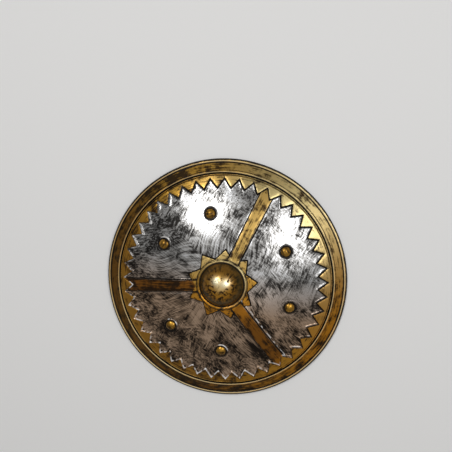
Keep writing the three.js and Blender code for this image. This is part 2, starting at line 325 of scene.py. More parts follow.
class Patch:
    """Points and lines in the plane, from which a triangulated patch inside a circle is made."""

    def __init__(self, circle_radius):
        self.points = []
        self.edges = []
        self.places = {}
        self.add_line(circle(circle_radius, SEGMENTS), closed=True)

    def add_line(self, line, closed=False, keep=None):
        start = len(self.points)
        keep = np.ones(len(line), bool) if keep is None else keep
        index = start - 1 + np.cumsum(keep)
        self.points.extend(line[keep].tolist())
        last = len(line) if closed else len(line) - 1
        for i in range(last):
            j = (i + 1) % len(line)
            if keep[i] and keep[j]:
                self.edges.append((int(index[i]), int(index[j])))

    def add_circle(self, centre, radius, count):
        self.add_line(np.array(centre) + circle(radius, count), closed=True)

    def add_boss_circles(self, half_ring, ring_lines, outer, inner, spacing, least):
        """Circles outside the boss's ring, over its round section, and inwards over the boss."""
        ring = [BOSS_RING_RADIUS + half_ring * math.cos(math.radians(a)) for a in ring_lines]
        for radius in [outer, *ring, *inner]:
            self.add_circle((0, 0), radius, max(least, int(FULL_TURN * radius / spacing)))

    def add_band_lines(self, shares, inset, spacing, keep):
        """Lines along both sides of each band, at shares of its wall."""
        along = np.arange(BOSS_RING_OUTER, TOOTH_ROOT, spacing)
        half, relief = band_part(along)
        for angle in BAND_ANGLES:
            direction = np.array([math.cos(angle), math.sin(angle)])
            side = np.array([-direction[1], direction[0]])
            for share in shares:
                for sign in (-1, 1):
                    across = sign * (half - inset + share * BAND_DRAFT * relief)
                    line = along[:, None] * direction + across[:, None] * side
                    self.add_line(line, keep=keep(*line.T))

    def add_placed(self, places):
        """A closed line of points whose place in space is already known."""
        start = len(self.points)
        self.add_line(places[:, :2], closed=True)
        for i, place in enumerate(places):
            self.places[start + i] = place

    def fill(self, radius, spacing, free):
        """Points of a triangular grid, wherever it is free."""
        row_step = 0.866
        rows = int(radius / spacing / row_step) + 1
        i, j = np.mgrid[-rows:rows + 1, -rows - 2:rows + 3].reshape(2, -1)
        grid = np.column_stack([j * spacing + spacing / 2 * (i % 2), i * spacing * row_step])
        grid = grid[np.hypot(grid[:, 0], grid[:, 1]) < radius]
        grid = grid[free(grid[:, 0], grid[:, 1])]
        self.points.extend(grid.tolist())

    def build(self, height):
        coords = [Vector(p) for p in self.points]
        flat, _, faces, origin, _, _ = delaunay_2d_cdt(coords, self.edges, [], 0, 1e-4, True)
        xy = np.array([tuple(p) for p in flat])
        xyz = np.column_stack([xy, height(xy[:, 0], xy[:, 1])])
        source = np.full(len(flat), -1)
        for i, found in enumerate(origin):
            for j in found:
                if j in self.places:
                    xyz[i] = self.places[j]
                if source[i] < 0 or j < SEGMENTS:
                    source[i] = j
        return xyz, faces, source


def away_from_rivets(x, y, angles):
    return np.min([rivet_distance(x, y, angle) for angle in angles], axis=0)


def rivet_rings():
    """A rivet dome's rings from foot to top: radius, and height over the field's tangent plane."""
    cap = (RIVET_RADIUS ** 2 + RIVET_RISE ** 2) / (2 * RIVET_RISE)
    half = math.asin(RIVET_RADIUS / cap)
    profile = list(COLLAR_PROFILE)
    steps = 9
    for i in range(steps):
        angle = half * (1 - i / steps)
        height = COLLAR_RISE + RIVET_RISE + cap * (math.cos(angle) - 1)
        profile.append((cap * math.sin(angle), max(height, DOME_FOOT)))
    return profile


def rivet_frame(angle):
    """The tangent plane of the field at a rivet dome."""
    tilt = math.asin(RIVET_CIRCLE / DOME_RADIUS)
    place = Vector((*rivet_centre(angle), float(field(RIVET_CIRCLE))))
    return Matrix.Translation(place) @ Matrix.Rotation(angle, 4, "Z") @ Matrix.Rotation(tilt, 4, "Y")


def add_rivet_dome(patch, angle):
    placing = rivet_frame(angle)
    turn = FULL_TURN * np.arange(RIVET_SEGMENTS) / RIVET_SEGMENTS
    for radius, height in rivet_rings():
        sag = radius ** 2 / (2 * DOME_RADIUS)
        ring = [placing @ Vector((radius * math.cos(t), radius * math.sin(t), height - sag)) for t in turn]
        patch.add_placed(np.array([tuple(p) for p in ring]))
    top = placing @ Vector((0, 0, COLLAR_RISE + RIVET_RISE))
    patch.places[len(patch.points)] = np.array(top)
    patch.points.append([top.x, top.y])


def front_patch():
    patch = Patch(FRONT_JOIN)
    for shift in FRONT_TOOTH_LINES:
        patch.add_line(TEETH.line(shift, 8), closed=True)
    for shift in STAR_LINES:
        line = STAR.line(shift, 8)
        patch.add_line(line, closed=True, keep=np.hypot(*line.T) > BOSS_RING_OUTER + 0.4)
    patch.add_band_lines(
        FRONT_BAND_LINES, 0.0, 3.5,
        lambda x, y: (TEETH.distance(x, y) < 0.3) & (STAR.distance(x, y) < 0.3))
    inner = [*(BOSS_RADIUS - np.array([0.05, 0.6, 1.4])), *np.arange(BOSS_RADIUS - 3, 2.0, -2.6)]
    patch.add_boss_circles(BOSS_RING_RUN / 2, FRONT_RING_LINES, BOSS_RING_OUTER + 0.7, inner, 2.4, 12)
    for angle in RIVET_ANGLES:
        add_rivet_dome(patch, angle)

    def free(x, y):
        radius = np.hypot(x, y)
        tooth = TEETH.distance(x, y)
        clear = (radius > BOSS_RING_OUTER + 2) & (radius < FRONT_JOIN - 2.4)
        clear &= clear_of(tooth, -6.4, 2.4) & clear_of(STAR.distance(x, y), -4.0, 2.4)
        for angle in BAND_ANGLES:
            inside, _, _ = band_distance(x, y, angle)
            clear &= clear_of(inside, -6.5, 2.6) | (tooth > 0)
        return clear & (away_from_rivets(x, y, RIVET_ANGLES) > RIVET_PATCH + 2.2)

    patch.fill(FRONT_JOIN, FILL, free)
    return patch.build(front_height)


def back_patch():
    patch = Patch(BACK_JOIN)
    for shift in BACK_TOOTH_LINES:
        line = TEETH.line(shift, 4)
        patch.add_line(line, closed=True, keep=np.hypot(*line.T) < BACK_JOIN - 0.5)
    patch.add_band_lines(BACK_BAND_LINES, WALL, 8, lambda x, y: TEETH.distance(x, y) < WALL)
    inner = [*(BOSS_RADIUS - WALL - np.array([-0.6, 0.6])), *np.arange(BOSS_RADIUS - 5, 3.0, -5)]
    patch.add_boss_circles(BOSS_RING_RUN / 2 - WALL, BACK_RING_LINES, BOSS_RING_OUTER + 1, inner, 5, 10)
    for angle in SEAT_ANGLES:
        for shift in SEAT_LINES:
            patch.add_circle(rivet_centre(angle), SEAT_RADIUS + shift, SEAT_SEGMENTS)

    def free(x, y):
        radius = np.hypot(x, y)
        clear = (radius > BOSS_RING_OUTER + 3) & (radius < BACK_JOIN - 3)
        clear &= clear_of(TEETH.distance(x, y), -2.8, 4.5)
        for angle in BAND_ANGLES:
            inside, _, _ = band_distance(x, y, angle)
            clear &= clear_of(inside, -4, 5)
        return clear & (away_from_rivets(x, y, SEAT_ANGLES) > SEAT_RADIUS + 4)

    patch.fill(BACK_JOIN, 2 * FILL, free)
    return patch.build(back_height)


def rounded(corners, steps=3):
    """A profile with rounded corners, each given as radius, height and the reach of its rounding."""
    points = []
    places = [np.array(c[:2], float) for c in corners]
    for i, corner in enumerate(corners):
        reach = corner[2] if len(corner) > 2 else 0.0
        if reach == 0.0:
            points.append(places[i])
            continue
        ends = []
        for way in (places[i - 1] - places[i], places[i + 1] - places[i]):
            length = np.linalg.norm(way)
            ends.append(places[i] + way / length * min(reach, length * 0.45))
        for k in range(steps + 1):
            t = k / steps
            points.append((1 - t) ** 2 * ends[0] + 2 * t * (1 - t) * places[i] + t ** 2 * ends[1])
    return points


def bead(inner, outer, base, rise, steps=7):
    middle = (inner + outer) / 2
    half = (outer - inner) / 2
    turns = [math.pi * (1 - i / steps) for i in range(1, steps)]
    return [(middle + half * math.cos(turn), base + rise * math.sin(turn)) for turn in turns]


def rim_profile():
    """From the toothed ring's land outwards over the rim, under its foot and back in below."""
    crest = RIM_RADIUS - LIP_CREST_INSET
    edge = RIM_RADIUS - LIP_EDGE_INSET
    foot = RIM_RADIUS - FOOT_RUN
    under = RING_RADIUS - WALL
    return rounded([
        (FRONT_JOIN, float(field(FRONT_JOIN, RING_RELIEF))),
        (RING_RADIUS, float(field(RING_RADIUS, RING_RELIEF)), 0.6),
        (RING_RADIUS + 0.15, RING_FLOOR_HEIGHT),
        *bead(RING_RADIUS + 0.15, RING_BEAD_OUTER, RING_FLOOR_HEIGHT, RING_BEAD_RISE),
        (RING_BEAD_OUTER, RING_FLOOR_HEIGHT),
        (RING_BEAD_OUTER + 0.1, GROOVE_HEIGHT),
        (RIM_BEAD_INNER - 0.1, GROOVE_HEIGHT),
        (RIM_BEAD_INNER, RIM_BAND_HEIGHT),
        *bead(RIM_BEAD_INNER, RIM_BEAD_OUTER, RIM_BAND_HEIGHT, RIM_BEAD_RISE),
        (RIM_BEAD_OUTER, RIM_BAND_HEIGHT, 0.5),
        *[(RIM_BEAD_OUTER + RIM_BAND_RUN * t,
           RIM_BAND_HEIGHT + (LIP_VALLEY_HEIGHT - RIM_BAND_HEIGHT) * t) for t in (0.1, 0.3, 0.5, 0.7, 0.9)],
        (LIP_VALLEY_RADIUS, LIP_VALLEY_HEIGHT, 0.8),
        (crest, LIP_HEIGHT, 1.2),
        (edge, LIP_HEIGHT - LIP_EDGE_INSET, 1.2),
        (RIM_RADIUS, 0.0, 0.4),
        (foot, 0.0, 0.5),
        (foot, LIP_VALLEY_HEIGHT - WALL, 0.8),
        (LIP_VALLEY_RADIUS, LIP_VALLEY_HEIGHT - WALL, 1.2),
        (RIM_BEAD_OUTER, GROOVE_HEIGHT - WALL, 1.2),
        (under, GROOVE_HEIGHT - WALL, 0.8),
        (under, float(field(under, RING_RELIEF - WALL)), 0.8),
        (BACK_JOIN, float(field(BACK_JOIN, RING_RELIEF - WALL))),
    ])


# Paint: the direction from which the painted light and shade fall, and the length and width of its fine
# streaks
PAINTED_LIGHT_ANGLE = math.radians(38)
STREAK_LENGTH = 34.0
STREAK_WIDTH = 2.8
BOSS_SPOKES = 7
STROKE_CIRCLE = 30.0

# Each band's paint: tone (paler on the band towards the light), stain, worn edges with a painted highlight,
# painted highlight lines in the silver beside its two sides, and bare strips beyond
BAND_PAINT = [
    (0.02, 0.64, 0.3, 0.5, 0.5, 0.05),
    (0.05, 0.42, 0.3, 1.0, 0.3, 0.2),
    (0.62, 0.36, 0.6, 0.3, 0.6, 0.12),
]

# Dark grooves, and worn beads with a painted highlight (strongest on the lip's crest), round the rim: radius,
# width and strength
RIM_GROOVES = [
    (RING_RADIUS + 0.2, 0.8, 1.0), ((RING_BEAD_OUTER + RIM_BEAD_INNER) / 2, 3.0, 1.0),
    (RIM_BEAD_OUTER + 0.6, 1.2, 0.7), (LIP_VALLEY_RADIUS, 1.6, 1.0), (RIM_RADIUS - LIP_EDGE_INSET, 1.3, 1.0),
]
RIM_EDGES = [
    ((RIM_BEAD_INNER + RIM_BEAD_OUTER) / 2 - 0.6, 1.0, 1.0), ((RING_RADIUS + RING_BEAD_OUTER) / 2, 0.7, 0.4),
    (RIM_RADIUS - LIP_CREST_INSET, 1.0, 1.4),
]

# Painted highlights on the boss, where the lights reflect: x, y and radius
BOSS_PAINTED_HIGHLIGHTS = [(-8, 13, 8.5), (12, 8, 9)]

# Where the silver is lighter or darker: x, y, radius, and how much more or less silver. The lightest, near
# (-30, 145) and (140, 100), are painted highlights where the two lights reflect; the rest is partly painted
# light and partly how thickly the silver lies
SILVER_COVER_AND_PAINTED_LIGHT = [
    (-30, 145, 44, 0.3), (30, 186, 30, 0.14), (8, 100, 26, -0.24), (-9, 76, 16, 0.05),
    (-113, 88, 26, -0.22), (-94, 126, 22, -0.26), (-86, 160, 18, -0.2), (-74, 112, 11, -0.2),
    (-62, 84, 10, -0.2), (-44, 76, 13, -0.25), (-172, 62, 26, -0.24), (-148, 100, 22, -0.12),
    (-130, 38, 20, -0.1), (-90, 52, 20, 0.08), (-86, 20, 26, -0.12), (-128, 130, 24, -0.26),
    (20, 166, 24, 0.05),
    (140, 100, 38, 0.22), (96, 96, 16, -0.12), (76, 66, 16, -0.28), (128, 34, 15, -0.26), (84, 36, 22, -0.28),
    (98, -56, 24, 0.42), (122, -84, 34, 0.06), (130, -22, 26, 0.04), (110, -142, 18, -0.06),
    (-14, -143, 25, -0.26), (34, -104, 13, -0.2), (52, -134, 15, -0.26), (68, -162, 14, -0.24),
    (-50, -60, 20, 0.2), (-40, -98, 26, 0.2), (-112, -84, 28, -0.2), (-150, -60, 22, -0.08),
    (-66, -97, 24, 0.16), (-36, -192, 24, -0.22), (66, -70, 9, -0.2), (80, -92, 9, -0.22),
    (94, -114, 9, -0.18),
]

# What the material reads from the shell's points
LAYERS = [
    "gold", "dark", "wear_and_highlight", "tone", "stain", "painted_highlight_line", "cover_and_painted_light", "painted_warm_reflection", "orange", "near", "way_left",
    "way_lower", "swirl", "turning", "grit", "shade", "pale",
]


def hump(value, centre, width):
    """1 at the centre, fading to 0 on both sides."""
    return np.exp(-np.square((value - centre) / width))


def toward(angle, degrees, spread):
    """1 in a direction given in degrees, fading to 0 on both sides over a spread in radians."""
    return hump(angle, math.radians(degrees), spread)


def step(value, width):
    """From 0 well below zero to 1 well above it."""
    return np.clip(0.5 + value / (2 * width), 0, 1)


class Coat:
    """The paint on the shell's points, layer by layer.

    gold is where gold covers the silver. The dark layer is black in the grooves and painted shade on walls
    that face away from the light; the worn layer and the bright lines are worn edges and painted highlights
    in gold and silver.
    The cover is how thickly the silver lies, together with painted highlights and shade on it. tone, stain,
    orange, shade, pale and grit are the gold's: tone and stain carry painted light and shade, shade is
    painted shade and pale is a painted highlight on the boss.
    """

    def __init__(self, xyz):
        self.x, self.y, self.z = xyz[:, 0], xyz[:, 1], xyz[:, 2]
        self.radius = np.hypot(self.x, self.y)
        self.angle = np.arctan2(self.y, self.x)
        self.turned = self.angle % FULL_TURN
        self.tooth = TEETH.distance(self.x, self.y)
        self.star = STAR.distance(self.x, self.y)
        self.rim = self.radius > RING_RADIUS + 0.05
        # How much a point faces the painted light, round the shield
        self.painted_lit_side = 0.5 + 0.5 * np.cos(self.angle - PAINTED_LIGHT_ANGLE)
        self.orange_side = toward(self.angle, -35, 0.75)
        self.banded = np.zeros(len(xyz))
        self.wear_and_highlight = np.zeros(len(xyz))
        self.cover_and_painted_light = np.zeros(len(xyz))

    def raise_to(self, layer, amount):
        """Makes a layer at least as strong as an amount."""
        setattr(self, layer, np.maximum(getattr(self, layer), amount))

    def lay(self, where, **layers):
        """Gives layers new values in one region."""
        for layer, value in layers.items():
            setattr(self, layer, np.where(where, value, getattr(self, layer)))

    def paint_rim(self):
        """Gold on the rim and the teeth, whose tone and stains change round the shield: paler and cleaner
        towards the light as a painted highlight, with painted shade on the lip and the outer band away from
        it.
        """
        angle, radius = self.angle, self.radius
        outer = radius > RIM_BEAD_INNER
        self.gold = np.where(self.rim, 1.0, step(self.tooth + 0.2, 0.35))
        # Painted highlight: the gold is paler towards the light, and at 112 degrees where the second light
        # falls
        tone = 0.22 + 0.78 * np.power(self.painted_lit_side, 4) + 0.2 * self.orange_side
        tone = tone + 0.12 * toward(angle, 112, 0.5)
        self.tone = np.where(outer, tone - 0.1, tone)
        # Painted light: less stain towards the light; the stain is also heavier towards the bottom and the
        # upper left
        stain = 0.42 - 0.12 * hump(angle, PAINTED_LIGHT_ANGLE, 0.8) + 0.25 * toward(angle, -95, 0.8)
        stain = stain + np.where(outer, 0.4, 0.3) * toward(angle, 115, 0.6)
        stain = np.where(outer, stain + 0.04 * self.orange_side, stain - 0.14 - 0.16 * self.orange_side)
        stain = stain - 0.12 * (radius < RIM_BEAD_INNER) * toward(angle, -140, 0.5)
        # Painted shade: the lip darker away from the light
        self.stain = stain + (radius > LIP_VALLEY_RADIUS) * 0.45 * (1 - np.square(self.painted_lit_side))
        # Painted shade: the rim's outer band darker on the left
        self.shade = 0.45 * toward(self.turned, 190, 1.4) * (radius > RIM_BEAD_OUTER)
        self.orange = self.orange_side * np.where(outer, 1.0, 0.6) * (radius > TOOTH_TIP)

    def paint_tooth_walls(self):
        """Walls round the teeth, with painted shade on those that face away from the light and painted
        highlights on the others.
        """
        tooth, field_side = self.tooth, ~self.rim
        facing = np.cos(self.angle - PAINTED_LIGHT_ANGLE)
        # How much painted shade the walls get, by the way they face; a little everywhere is the black in the
        # grooves
        wall_shade = 0.25 + 0.75 * step(facing - 0.05, 0.5)
        self.dark = wall_shade * hump(tooth, -0.36 * TOOTH_RUN, 1.7) * field_side
        # Painted shade in the silver below the walls that carry painted highlights
        self.raise_to("dark", 0.62 * hump(tooth, -TOOTH_RUN - 2.2, 1.8) * (1 - wall_shade) * field_side)
        # Painted shade over the teeth's top edges, all round but the side away from the light
        self.raise_to("dark", 0.75 * hump(tooth, 0.4, 1.0) * step(facing + 0.75, 0.3) * field_side)
        # Painted highlight along the walls that face the light
        self.painted_highlight_line = 1.2 * (1 - wall_shade) * hump(tooth, -0.45 * TOOTH_RUN, 1.5) * field_side
        # Painted shade: a dark spot at the foot of each notch towards the lower left
        notch_step = FULL_TURN / TOOTH_COUNT
        notch_side = (self.angle % notch_step - notch_step / 2) * self.radius
        spot = hump(notch_side, 0, 3.0) * hump(self.radius, TOOTH_ROOT - 8.0, 4.0)
        self.raise_to("dark", spot * toward(self.turned, 228, 0.75))
        # Painted highlights on one wall of each notch at the lower right and the upper left, with the painted
        # shade taken off there
        lit_wall = toward(self.turned, 312, 0.4) * step(-notch_side, 1.0)
        lit_wall = lit_wall + toward(self.turned, 140, 0.5) * step(notch_side, 1.0)
        lit_wall = lit_wall * hump(tooth, -2.7, 1.1) * field_side
        self.raise_to("painted_highlight_line", lit_wall)
        self.dark = self.dark * (1 - lit_wall)

    def paint_bands(self):
        """Each band's gold and edges, and how near its direction is, which the strokes follow."""
        ways = []
        for band, (tone, stain, wear_and_highlight, left_line, right_line, bare) in zip(BAND_ANGLES, BAND_PAINT):
            inside, along, across = band_distance(self.x, self.y, band)
            _, relief = band_part(along)
            run = BAND_DRAFT * relief
            there = ~self.rim & (self.tooth < 0) & (along > STAR_NOTCH_RADIUS - 4)
            self.raise_to("gold", there * step(inside + 0.1, 0.3))
            self.raise_to("banded", (along > 0) * step(inside + 0.5, 1.0))
            self.raise_to("dark", there * hump(inside, -0.6 * run, 1.4))
            # Worn top edges, with a painted highlight on them
            self.raise_to("wear_and_highlight", there * wear_and_highlight * hump(inside, 0.7, 0.5))
            self.lay(there & (inside > -1), tone=tone, stain=stain + 0.3 * hump(inside, 0, 2.6))
            # Painted highlights in the silver beside the band's two sides
            line = np.where(across > 0, left_line, right_line)
            self.raise_to("painted_highlight_line", there * line * hump(inside, -run - 1.8, 1.1))
            self.cover_and_painted_light = np.minimum(self.cover_and_painted_light, there * -bare * hump(inside, -run - 7.5, 5.0))
            turn = np.abs((self.angle - band + math.pi) % FULL_TURN - math.pi)
            ways.append(np.clip(1 - turn / math.radians(100), 0, 1))
        self.way_left, self.way_lower, _ = ways

    def paint_star(self):
        radius, star = self.radius, self.star
        inner = radius < STAR_TIP_RADIUS + 4
        on_star = inner & (star > -1)
        beyond_ring = radius > BOSS_RING_OUTER
        self.raise_to("gold", inner * step(star + 0.1, 0.3))
        self.lay(radius < BOSS_RING_OUTER + 0.5, gold=1.0)
        groove = hump(star, -0.7 * STAR_RUN, 1.5)
        self.raise_to("dark", inner * groove * beyond_ring * (1 - 0.6 * self.banded))
        # Worn top edges, with a painted highlight on them
        self.raise_to("wear_and_highlight", inner * 0.5 * hump(star, 0.7, 0.5) * beyond_ring)
        # Painted highlight: a bright line in the silver round the star
        line = inner * 0.6 * hump(star, -STAR_RUN - 2.4, 0.9) * beyond_ring
        self.raise_to("painted_highlight_line", line * (1 - self.banded))
        # Painted highlight: the star paler towards the top
        self.lay(on_star, tone=0.48 + 0.25 * np.sin(self.angle), stain=0.36)
        self.raise_to("orange", on_star * 0.7 * step(-self.y - 6, 30))
        near_star = hump(radius, STAR_TIP_RADIUS, 16) * step(-self.y - 20, 20) * (self.tooth < 0)
        self.raise_to("orange", 0.55 * near_star * step(self.banded - 0.5, 0.5))

    def paint_boss(self):
        """The boss, paler and cleaner on top with painted highlights and darker towards its foot and lower
        side with painted shade, and the ring round it.
        """
        x, y, radius = self.x, self.y, self.radius
        boss = radius < BOSS_RING_INNER
        ring = (radius >= BOSS_RING_INNER) & (radius < BOSS_RING_OUTER)
        # Painted highlight and shade: paler and cleaner on top, darker towards the foot and more so on the
        # lower side
        self.lay(
            boss, tone=0.18 + 0.7 * hump(radius, 0, 17), stain=0.54 - 0.44 * hump(radius, 0, 16),
            shade=0.88 * step(radius - 32 - 0.16 * y, 8))
        self.grit = np.where(boss, hump(radius, 16, 16), 0.0)
        # Painted highlights where the lights reflect on the boss
        painted_highlights = sum(hump(np.hypot(x - cx, y - cy), 0, size) for cx, cy, size in BOSS_PAINTED_HIGHLIGHTS)
        self.pale = np.where(boss, painted_highlights, 0.0)
        outside = radius - BOSS_RING_RADIUS
        # The ring paler towards the light, a painted highlight, and its outer slope darker, painted shade
        self.lay(
            ring, tone=0.4 + 0.5 * self.painted_lit_side, shade=0.35 * step(outside, 1.5),
            stain=0.25 + 0.4 * step(outside - 1, 1.5))
        self.raise_to("dark", hump(radius, BOSS_RADIUS - 0.4, 1.6))
        self.raise_to("dark", 0.9 * hump(radius, BOSS_RING_OUTER + 0.3, 0.8))
        # Painted highlight on the ring's crest, stronger towards the light
        self.raise_to("wear_and_highlight", hump(radius, BOSS_RING_RADIUS - 0.7, 1.0) * (0.4 + 0.6 * self.painted_lit_side))

    def paint_rim_lines(self):
        for centre, width, strength in RIM_GROOVES:
            self.raise_to("dark", self.rim * strength * hump(self.radius, centre, width))
        for centre, width, strength in RIM_EDGES:
            self.raise_to("wear_and_highlight", self.rim * strength * hump(self.radius, centre, width))
        # Painted highlight: the worn lines paler towards the lower left
        self.lay(self.rim & (self.wear_and_highlight > 0.3), tone=self.tone + 0.5 * toward(self.turned, 225, 1.0))
        self.lay((self.radius > RIM_RADIUS - LIP_EDGE_INSET) & (self.z < 4), dark=1.0)

    def paint_silver(self):
        # Painted highlights and painted light and shade on the silver, together with how thickly it lies
        for cx, cy, size, amount in SILVER_COVER_AND_PAINTED_LIGHT:
            away = (self.x - cx) ** 2 + (self.y - cy) ** 2
            self.cover_and_painted_light = self.cover_and_painted_light + amount * np.exp(-away / size ** 2)
        # Painted reflection: the silver warmer towards the bottom
        self.painted_warm_reflection = np.clip(0.4 - (self.y + 0.25 * self.x) / 90, 0, 1)

    def paint_rivets(self):
        """The rivet domes, and the strokes that swirl round them."""
        self.swirl = np.zeros((len(self.x), 3))
        near = np.full(len(self.x), FAR)
        for number, rivet in enumerate(RIVET_ANGLES):
            centre_x, centre_y = rivet_centre(rivet)
            dx = self.x - centre_x
            dy = self.y - centre_y
            away = np.hypot(dx, dy)
            closer = away < near
            around = np.stack([dx / (away + 1e-6), dy / (away + 1e-6), away], 1)
            self.swirl = np.where(closer[:, None], around + np.array([0, 0, 100 * number]), self.swirl)
            near = np.where(closer, away, near)
            # Painted highlight: a bright arc on the upper side of each collar, on the rivets away from the
            # light
            lit = hump(away, COLLAR_RADIUS + 0.4, 1.3) * step(dx * 0.5 + dy * 0.86 - 6, 5)
            self.raise_to("painted_highlight_line", lit * step(-math.cos(rivet - PAINTED_LIGHT_ANGLE), 0.3))
        on_rivet = near < RIVET_PATCH - 1
        grooves = np.maximum(hump(near, 12.0, 1.4), 0.7 * hump(near, 14.2, 1.0))
        grooves = np.maximum(grooves, 0.75 * hump(near, RIVET_RADIUS - 1.0, 1.6))
        dome = step(RIVET_RADIUS - 0.4 - near, 0.5)
        # The domes a little darker all over with painted shade
        self.lay(on_rivet, gold=dome, dark=grooves, tone=0.3, stain=0.34, shade=0.1)
        self.dark = self.dark * (1 - np.where(on_rivet, self.painted_highlight_line, 0))
        self.near = hump(near, 0, STROKE_CIRCLE)

    def lay_streaks(self):
        """Places for the gold's streaks, which run round the rim, out over the boss and along the bands."""
        radius = self.radius
        around = np.stack([np.cos(self.angle), np.sin(self.angle)], 1)
        turns = RIM_RADIUS / STREAK_LENGTH
        hoops = np.column_stack([around * turns, radius / STREAK_WIDTH])
        spokes = np.column_stack([around * BOSS_SPOKES, radius / STREAK_LENGTH])
        self.turning = np.where((radius < BOSS_RING_INNER)[:, None], spokes, hoops)
        for band in BAND_ANGLES:
            inside, along, across = band_distance(self.x, self.y, band)
            on_band = (inside > -1) & (self.tooth < 0) & (radius > BOSS_RING_OUTER)
            apart = np.full(len(radius), 60.0 + band)
            laid = np.stack([along / STREAK_LENGTH, across / STREAK_WIDTH, apart], 1)
            self.turning = np.where(on_band[:, None], laid, self.turning)


def paint_masks(xyz):
    """What each point of the shell carries, layer by layer, each over the ones before."""
    coat = Coat(xyz)
    coat.paint_rim()
    coat.paint_tooth_walls()
    coat.paint_bands()
    coat.paint_star()
    coat.paint_boss()
    coat.paint_rim_lines()
    coat.paint_silver()
    coat.paint_rivets()
    coat.lay_streaks()
    masks = {layer: getattr(coat, layer) for layer in LAYERS}
    for layer in ("gold", "dark", "wear_and_highlight", "painted_highlight_line"):
        masks[layer] = np.clip(masks[layer], 0, 1)
    return masks


def new_object(name, places, faces, material, smooth=True):
    mesh = bpy.data.meshes.new(name)
    mesh.from_pydata([tuple(p) for p in places * MM], [], faces)
    mesh.materials.append(material)
    mesh.polygons.foreach_set("use_smooth", np.full(len(mesh.polygons), smooth))
    piece = bpy.data.objects.new(name, mesh)
    bpy.context.scene.collection.objects.link(piece)
    return piece


def build_shell(painted, bare):
    """The whole shell as one closed skin: front patch, rim and back patch share the points of two circles."""
    front, front_faces, front_source = front_patch()
    back, back_faces, back_source = back_patch()
    profile = np.array(rim_profile())
    rows = rings(profile[1:-1], SEGMENTS)
    places = np.concatenate([front, *rows, back])
    back_start = len(places) - len(back)
    index = np.zeros((len(rows) + 2, SEGMENTS), int)
    for row, start, sources in ((0, 0, front_source), (-1, back_start, back_source)):
        for i, source in enumerate(sources):
            if 0 <= source < SEGMENTS:
                index[row, source] = start + i
    for k in range(len(rows)):
        index[k + 1] = len(front) + k * SEGMENTS + np.arange(SEGMENTS)
    faces = [tuple(f) for f in front_faces]
    split = len(faces)
    painted_rows = int(np.argmin(np.where(profile[:, 0] < RIM_RADIUS - 1, FAR, profile[:, 1])))
    following = np.roll(index, -1, 1)
    for k in range(len(index) - 1):
        for quad in zip(index[k], index[k + 1], following[k + 1], following[k]):
            faces.append(tuple(int(corner) for corner in quad))
    faces += [tuple(back_start + i for i in reversed(f)) for f in back_faces]
    shell = new_object("shell_skin", places, faces, painted)
    shell.data.materials.append(bare)
    slots = np.zeros(len(faces), np.int32)
    slots[split + painted_rows * SEGMENTS:] = 1
    shell.data.polygons.foreach_set("material_index", slots)
    for name, values in paint_masks(places).items():
        kind, key = ("FLOAT_VECTOR", "vector") if values.ndim == 2 else ("FLOAT", "value")
        attribute = shell.data.attributes.new(name, kind, "POINT")
        attribute.data.foreach_set(key, values.astype(np.float32).ravel())
    return shell


def build_strap(name, width, ramp_run, angle, material):
    """A strap lofted along a line that leaves its seats flat and dips between them."""
    x, half_span = rivet_centre(angle)
    inner = half_span - SEAT_RADIUS - CLEARANCE
    drop = STRAP_BOTTOM - STRAP_FLOOR_GAP
    middle = STRAP_BOTTOM + STRAP_THICKNESS / 2
    stations = []
    end_steps = 10
    for i in range(end_steps):
        turn = math.pi / 2 * (1 - (i + 0.15) / end_steps)
        stations.append((half_span + width / 2 * math.sin(turn), middle, 0.0, width / 2 * math.cos(turn)))
    stations.append((half_span, middle, 0.0, width / 2))
    ramp_steps = 24
    for i in range(ramp_steps + 1):
        share = i / ramp_steps
        slope = -drop * math.pi * math.sin(math.pi * share) / (2 * ramp_run)
        z = middle - drop * (1 - math.cos(math.pi * share)) / 2
        stations.append((inner - ramp_run * share, z, math.atan(-slope), width / 2))
    stations.append((0.0, middle - drop, 0.0, width / 2))
    stations += [(-y, z, -lean, half) for y, z, lean, half in reversed(stations[:-1])]
    thick = STRAP_THICKNESS / 2
    places = []
    ring = STRAP_SEGMENTS
    for y, z, lean, half in stations:
        for k in range(ring):
            turn = FULL_TURN * (k + 0.5) / ring
            reach = min(STRAP_CORNER, half * 0.9)
            across = math.copysign(max(half - reach, 0), math.cos(turn)) + reach * math.cos(turn)
            up = math.copysign(thick - STRAP_CORNER, math.sin(turn)) + STRAP_CORNER * math.sin(turn)
            places.append((x + across, y - up * math.sin(lean), z + up * math.cos(lean)))
    faces = []
    for s in range(len(stations) - 1):
        for k in range(ring):
            a = s * ring + k
            b = s * ring + (k + 1) % ring
            faces.append((a, a + ring, b + ring, b))
    faces.append(tuple(range(ring)))
    faces.append(tuple(reversed(range((len(stations) - 1) * ring, len(stations) * ring))))
    return new_object(name, np.array(places), faces, material)


